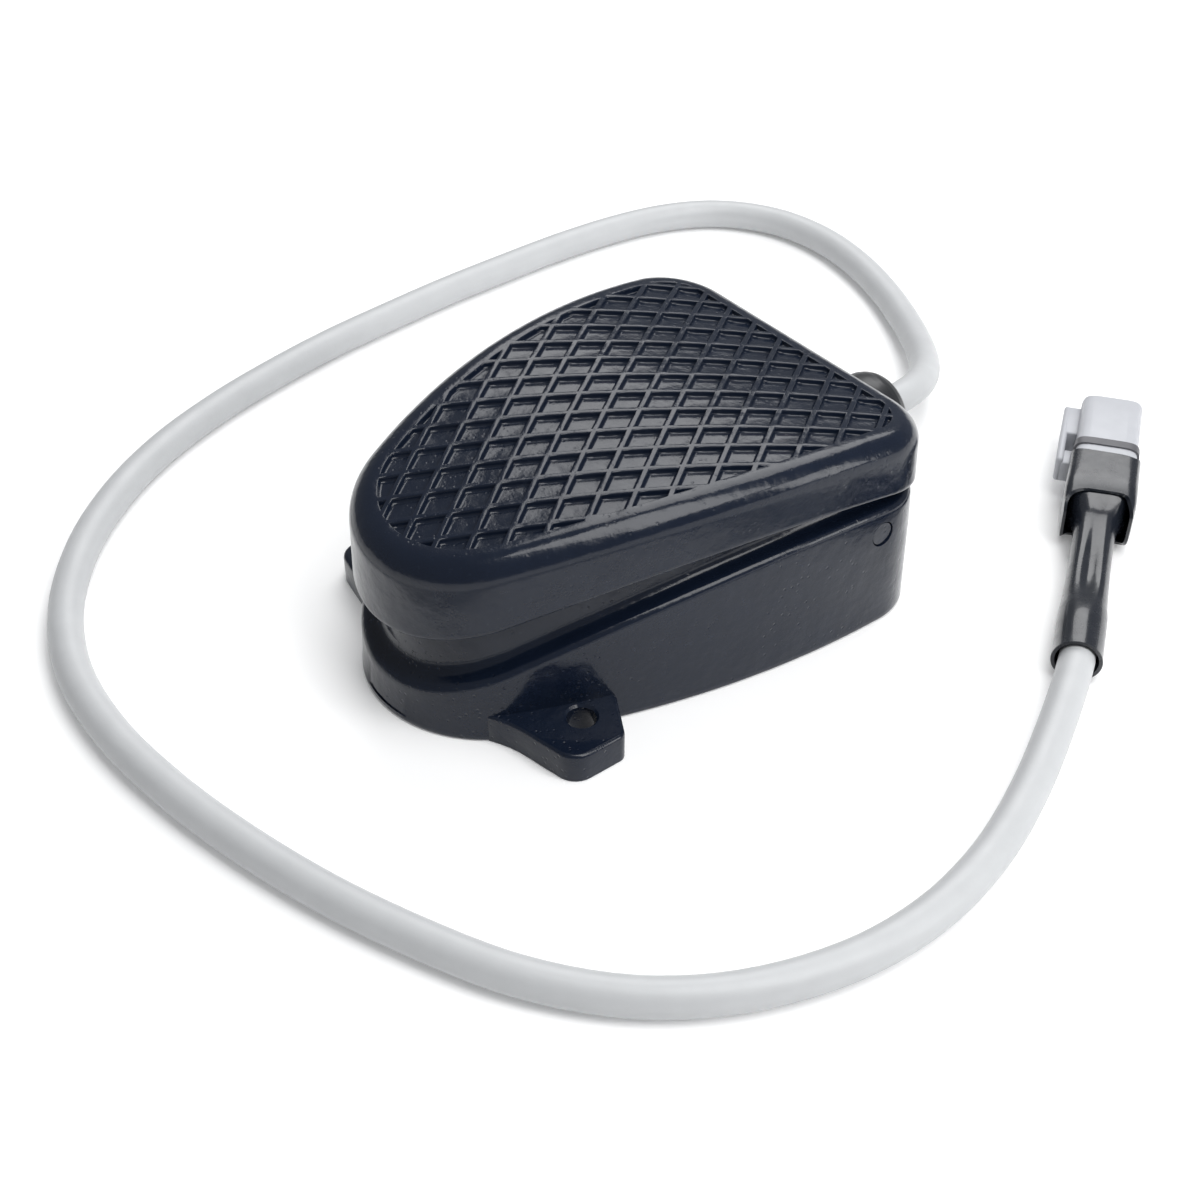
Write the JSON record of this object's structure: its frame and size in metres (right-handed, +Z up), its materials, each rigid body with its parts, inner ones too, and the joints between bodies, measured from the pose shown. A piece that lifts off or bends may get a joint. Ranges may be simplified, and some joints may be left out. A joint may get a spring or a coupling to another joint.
{
  "type": "foot switch",
  "caption": "Cast foot switch: a treaded pedal hinged over a sealed base with side ears, and a lead through a rear gland to a two-way connector.",
  "frame": {"origin": "midway between the two fixing holes, on the mounting plane", "axes": "+X to the side of the ears, +Y from the toe to the hinge end, +Z up from the mounting plane"},
  "size_m": [0.2561, 0.2705, 0.0515],
  "materials": {
    "painted_casting": "gloss black paint over an iron casting",
    "steel": "zinc plated",
    "brass": "plain",
    "rubber": "matt",
    "black_plastic": "moulded",
    "grey_plastic": "moulded, satin",
    "cable_jacket": "satin jacket",
    "shrink_tube": "gloss heat-shrink tube",
    "wire": "insulated core",
    "orange_plastic": "moulded wedge lock"
  },
  "bodies": {
    "base": {"base_casting": "painted_casting", "hinge_pins": "steel", "return_spring": "steel", "stop_buffers": "rubber", "rod_guide": "brass", "rod_seal": "rubber", "switch_body": "black_plastic", "lever_pin": "steel", "switch_terminals": "brass", "switch_bracket": "steel", "bracket_screws": "steel", "switch_screws": "steel", "switch_nuts": "steel", "core_wires": "wire", "inner_cable": "cable_jacket", "cable_clamp": "steel", "clamp_screw": "steel", "gland_body": "black_plastic", "gland_washer": "rubber", "gland_seal": "rubber", "gland_nut": "black_plastic", "gland_locknut": "black_plastic", "base_cover": "steel", "cover_gasket": "rubber", "cover_screws": "steel", "cable": "cable_jacket", "shrink_sleeve": "shrink_tube", "plug_wires": "wire", "connector_housing": "grey_plastic", "connector_seal": "rubber", "connector_contacts": "brass", "connector_lock": "orange_plastic"},
    "pedal": {"pedal_casting": "painted_casting", "hinge_bushes": "brass", "adjuster_screw": "steel", "adjuster_nut": "steel"},
    "rod": {"push_rod": "steel"},
    "lever": {"switch_lever": "steel"},
    "plunger": {"switch_plunger": "brass"}
  },
  "joints": [
    {"name": "pedal_hinge", "type": "hinge", "parent": "base", "child": "pedal", "pos_m": [0, 0.076, 0.025], "axis": [1, 0, 0], "range_deg": [0, 7], "stiffness_Nm_per_rad": 18, "springref_deg": -5.16, "deforming": ["return_spring"]},
    {"name": "rod_slide", "type": "slide", "parent": "base", "child": "rod", "axis": [0, 0, -1], "range_m": [0, 0.0037]},
    {"name": "lever_hinge", "type": "hinge", "parent": "base", "child": "lever", "pos_m": [0, 0.0645, 0.0251], "axis": [1, 0, 0], "range_deg": [0, 13.5]},
    {"name": "plunger_slide", "type": "slide", "parent": "base", "child": "plunger", "axis": [0, 0, -1], "range_m": [0, 0.0014]}
  ],
  "couplings": [
    {"joint": "rod_slide", "follows": "pedal_hinge", "m_per_rad": 0.03},
    {"joint": "lever_hinge", "follows": "pedal_hinge", "ratio": 1.9},
    {"joint": "plunger_slide", "follows": "pedal_hinge", "m_per_rad": 0.011}
  ]
}
